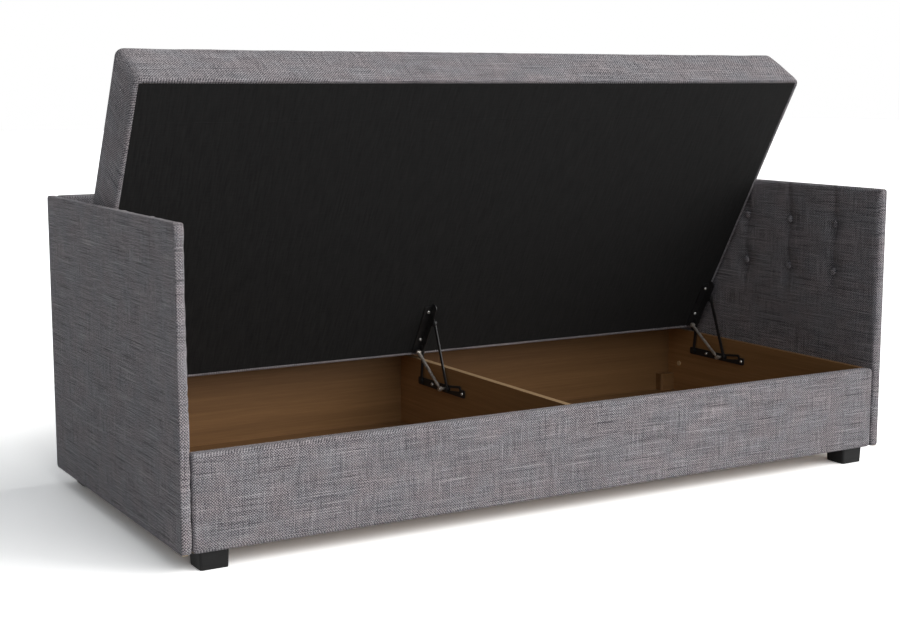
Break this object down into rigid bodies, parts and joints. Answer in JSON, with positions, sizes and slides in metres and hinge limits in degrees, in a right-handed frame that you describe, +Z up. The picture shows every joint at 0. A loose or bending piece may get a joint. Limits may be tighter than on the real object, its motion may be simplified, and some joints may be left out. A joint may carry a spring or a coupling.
{
  "type": "storage sofa bed",
  "caption": "Daybed with tufted side and back panels, a low front board and a mattress seat that lifts on linkage fittings over a divided wooden storage box, shown open.",
  "frame": {"origin": "centre of the bounding box at floor level, with the mattress open", "axes": "+X along the length to the right as seen from the front, +Y to the back panel, +Z up"},
  "size_m": [2.0656, 0.9286, 1.1362],
  "materials": {
    "panel_board": "matte",
    "panel_fabric": "matte",
    "button_fabric": "matte",
    "front_fabric": "matte",
    "box_laminate": "satin",
    "pale_laminate": "satin",
    "block_wood": "matte",
    "foot_plastic": "satin",
    "black_steel": "satin",
    "zinc_steel": "satin",
    "strut_steel": "polished",
    "seat_fabric": "matte",
    "seat_foam": "matte",
    "rail_wood": "matte",
    "deck_fibre": "matte",
    "black_cloth": "matte"
  },
  "bodies": {
    "base": {"left_side_board": "panel_board", "left_side_cover": "panel_fabric", "left_side_buttons": "button_fabric", "right_side_board": "panel_board", "right_side_cover": "panel_fabric", "right_side_buttons": "button_fabric", "back_board": "panel_board", "back_cover": "panel_fabric", "back_buttons": "button_fabric", "back_dowels": "zinc_steel", "front_core": "panel_board", "front_cover": "front_fabric", "box_left_wall": "box_laminate", "box_right_wall": "box_laminate", "box_back_wall": "box_laminate", "partition": "pale_laminate", "floor_left": "box_laminate", "floor_right": "box_laminate", "corner_blocks": "block_wood", "block_screws": "zinc_steel", "panel_bolts": "zinc_steel", "foot_front_left": "foot_plastic", "foot_front_right": "foot_plastic", "foot_rear_left": "foot_plastic", "foot_rear_right": "foot_plastic", "foot_screws": "zinc_steel", "base_bar_left": "black_steel", "base_bar_centre": "black_steel", "base_bar_right": "black_steel", "base_bar_screws": "zinc_steel", "bar_spacers": "black_steel", "base_pins": "zinc_steel", "strut_posts": "zinc_steel"},
    "mattress": {"mattress_cover": "seat_fabric", "mattress_core": "seat_foam", "deck_board": "deck_fibre", "front_rail": "rail_wood", "rear_rail": "rail_wood", "end_rails": "rail_wood", "cross_rails": "rail_wood", "underside_cloth": "black_cloth", "strap_left": "black_steel", "strap_centre": "black_steel", "strap_right": "black_steel", "strap_screws": "zinc_steel", "strap_pins": "zinc_steel", "strut_pins": "zinc_steel"},
    "rear_link_centre": {"rear_link_centre": "black_steel"},
    "rear_link_left": {"rear_link_left": "black_steel"},
    "rear_link_right": {"rear_link_right": "black_steel"},
    "front_arm_left": {"front_arm_left": "black_steel"},
    "front_arm_centre": {"front_arm_centre": "black_steel"},
    "front_arm_right": {"front_arm_right": "black_steel"},
    "strut_tube_left": {"strut_tube_left": "strut_steel"},
    "strut_tube_centre": {"strut_tube_centre": "strut_steel"},
    "strut_tube_right": {"strut_tube_right": "strut_steel"},
    "strut_rod_left": {"strut_rod_left": "strut_steel"},
    "strut_rod_centre": {"strut_rod_centre": "strut_steel"},
    "strut_rod_right": {"strut_rod_right": "strut_steel"}
  },
  "joints": [
    {"name": "rear_link_centre_turn", "type": "hinge", "parent": "base", "child": "rear_link_centre", "pos_m": [0, 0.29073, 0.20538], "axis": [1, 0, 0], "range_deg": [-67.07, 0]},
    {"name": "mattress_close", "type": "hinge", "parent": "rear_link_centre", "child": "mattress", "pos_m": [0, 0.27808, 0.30676], "axis": [1, 0, 0], "range_deg": [0, 127.32]},
    {"name": "rear_link_left_turn", "type": "hinge", "parent": "base", "child": "rear_link_left", "pos_m": [0, 0.29073, 0.20538], "axis": [1, 0, 0], "range_deg": [-67.07, 0]},
    {"name": "rear_link_right_turn", "type": "hinge", "parent": "base", "child": "rear_link_right", "pos_m": [0, 0.29073, 0.20538], "axis": [1, 0, 0], "range_deg": [-67.07, 0]},
    {"name": "front_arm_left_turn", "type": "hinge", "parent": "mattress", "child": "front_arm_left", "pos_m": [0, 0.21219, 0.38394], "axis": [1, 0, 0], "range_deg": [-121.82, 0]},
    {"name": "front_arm_centre_turn", "type": "hinge", "parent": "mattress", "child": "front_arm_centre", "pos_m": [0, 0.21219, 0.38394], "axis": [1, 0, 0], "range_deg": [-121.82, 0]},
    {"name": "front_arm_right_turn", "type": "hinge", "parent": "mattress", "child": "front_arm_right", "pos_m": [0, 0.21219, 0.38394], "axis": [1, 0, 0], "range_deg": [-121.82, 0]},
    {"name": "strut_tube_left_turn", "type": "hinge", "parent": "mattress", "child": "strut_tube_left", "pos_m": [0, 0.28316, 0.2918], "axis": [1, 0, 0], "range_deg": [-83.69, 0]},
    {"name": "strut_tube_centre_turn", "type": "hinge", "parent": "mattress", "child": "strut_tube_centre", "pos_m": [0, 0.28316, 0.2918], "axis": [1, 0, 0], "range_deg": [-83.69, 0]},
    {"name": "strut_tube_right_turn", "type": "hinge", "parent": "mattress", "child": "strut_tube_right", "pos_m": [0, 0.28316, 0.2918], "axis": [1, 0, 0], "range_deg": [-83.69, 0]},
    {"name": "strut_rod_left_turn", "type": "hinge", "parent": "base", "child": "strut_rod_left", "pos_m": [0, 0.15965, 0.206], "axis": [1, 0, 0], "range_deg": [-23.39, 0]},
    {"name": "strut_rod_centre_turn", "type": "hinge", "parent": "base", "child": "strut_rod_centre", "pos_m": [0, 0.15965, 0.206], "axis": [1, 0, 0], "range_deg": [-23.39, 0]},
    {"name": "strut_rod_right_turn", "type": "hinge", "parent": "base", "child": "strut_rod_right", "pos_m": [0, 0.15965, 0.206], "axis": [1, 0, 0], "range_deg": [-23.39, 0]}
  ],
  "couplings": [
    {"joint": "rear_link_centre_turn", "follows": "mattress_close", "ratio": -0.5264},
    {"joint": "rear_link_left_turn", "follows": "mattress_close", "ratio": -0.5264},
    {"joint": "rear_link_right_turn", "follows": "mattress_close", "ratio": -0.5264},
    {"joint": "front_arm_left_turn", "follows": "mattress_close", "ratio": -0.95644},
    {"joint": "front_arm_centre_turn", "follows": "mattress_close", "ratio": -0.95644},
    {"joint": "front_arm_right_turn", "follows": "mattress_close", "ratio": -0.95644},
    {"joint": "strut_tube_left_turn", "follows": "mattress_close", "ratio": -0.65689},
    {"joint": "strut_tube_centre_turn", "follows": "mattress_close", "ratio": -0.65689},
    {"joint": "strut_tube_right_turn", "follows": "mattress_close", "ratio": -0.65689},
    {"joint": "strut_rod_left_turn", "follows": "mattress_close", "ratio": -0.18329},
    {"joint": "strut_rod_centre_turn", "follows": "mattress_close", "ratio": -0.18329},
    {"joint": "strut_rod_right_turn", "follows": "mattress_close", "ratio": -0.18329}
  ]
}
